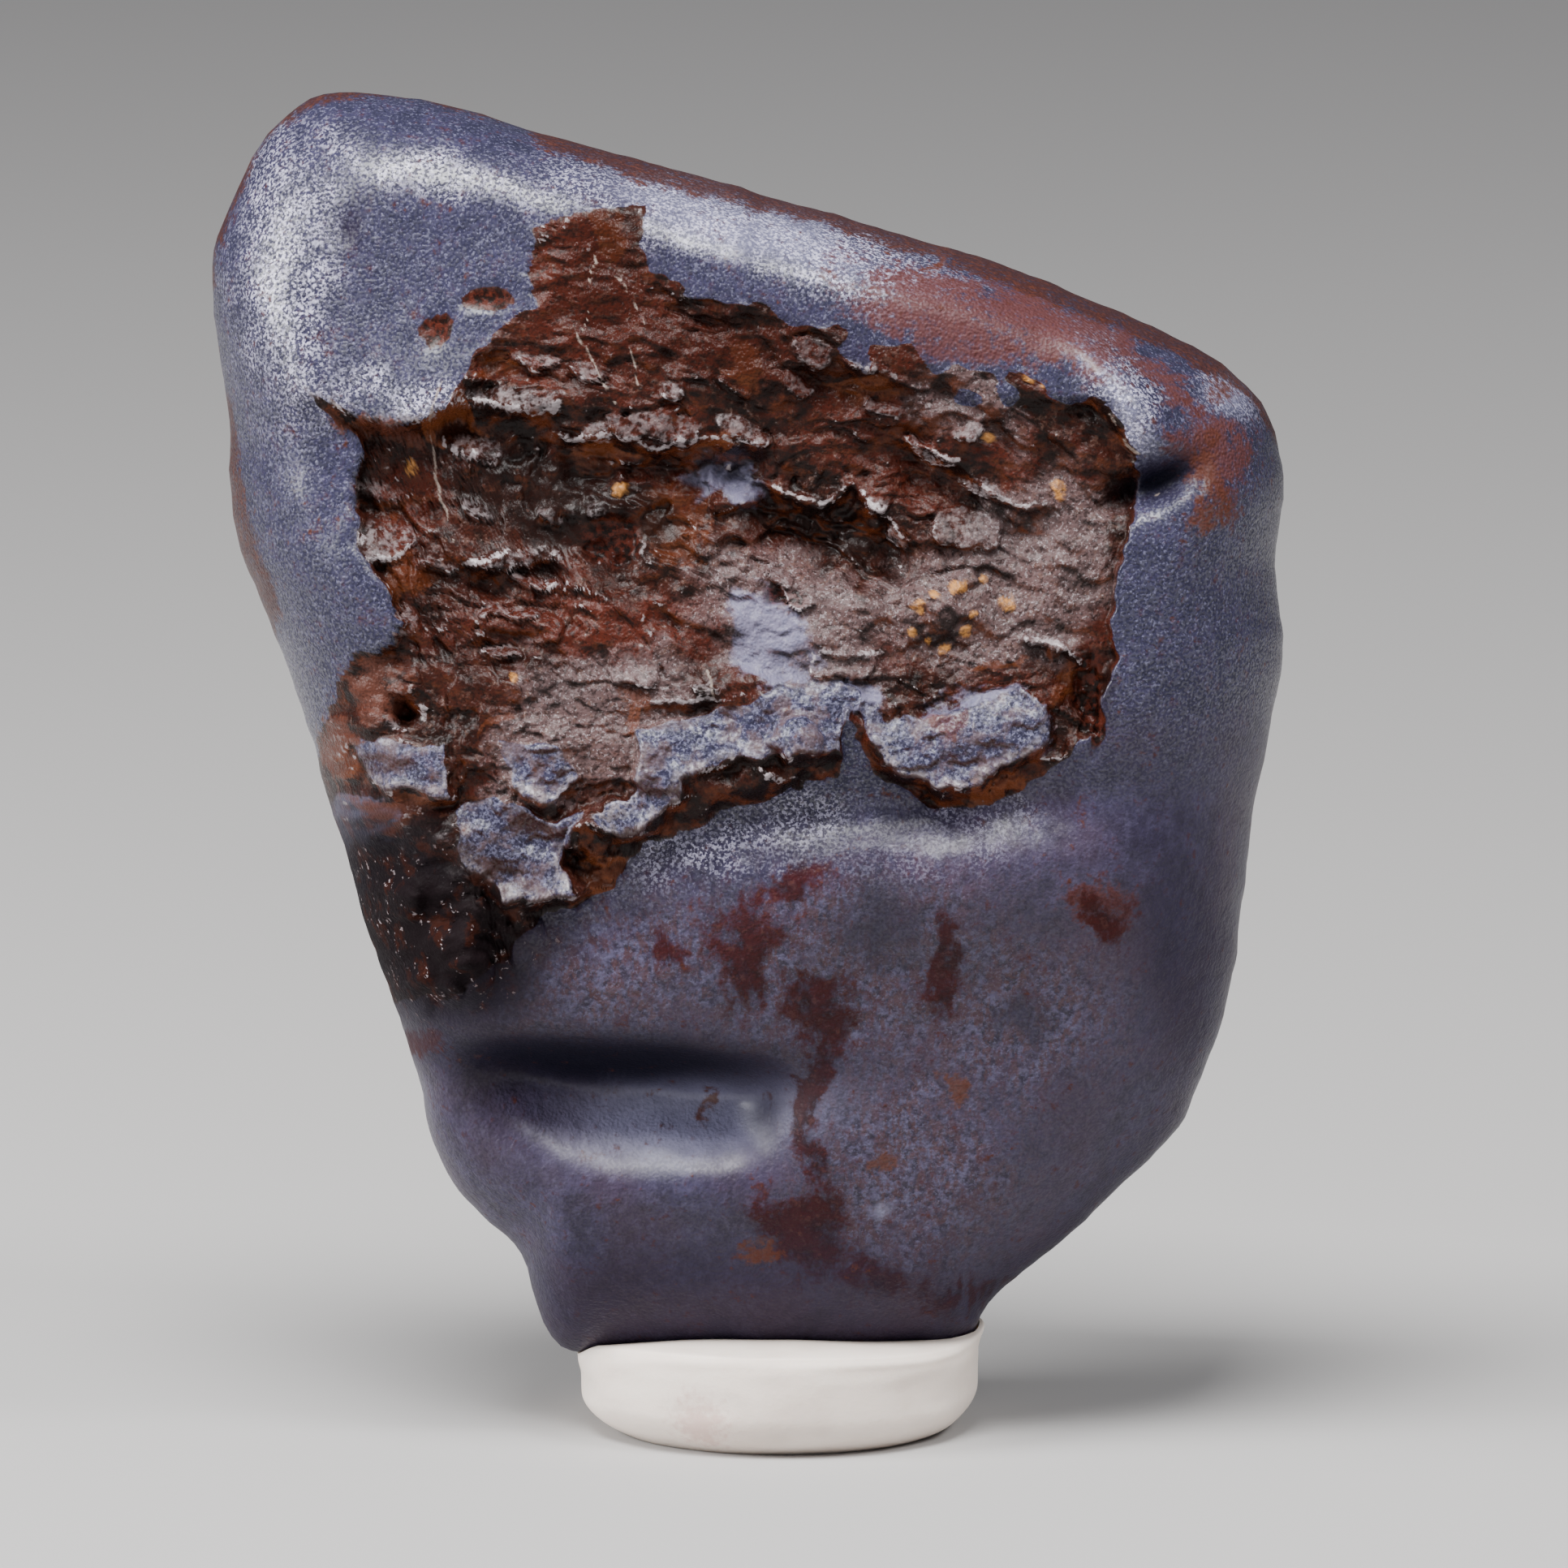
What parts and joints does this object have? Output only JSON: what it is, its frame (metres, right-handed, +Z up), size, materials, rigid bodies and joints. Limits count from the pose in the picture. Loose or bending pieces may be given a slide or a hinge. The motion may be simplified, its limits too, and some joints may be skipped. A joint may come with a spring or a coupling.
{
  "type": "fossil horned dinosaur tooth",
  "caption": "Worn shed fossil tooth with dark blue-grey enamel round a rough brown dentine field, standing upright in a small lump of white mounting putty.",
  "frame": {"origin": "middle of the part's box, on the surface it stands on", "axes": "+Z up along the standing tooth, -Y out of the rough face that the picture shows, +X to the right of that face"},
  "size_m": [0.0152, 0.0092, 0.0194],
  "materials": {
    "fossil_tooth": "satin",
    "white_putty": "matte"
  },
  "bodies": {
    "root": {"tooth": "fossil_tooth", "mounting_putty": "white_putty"}
  },
  "joints": []
}
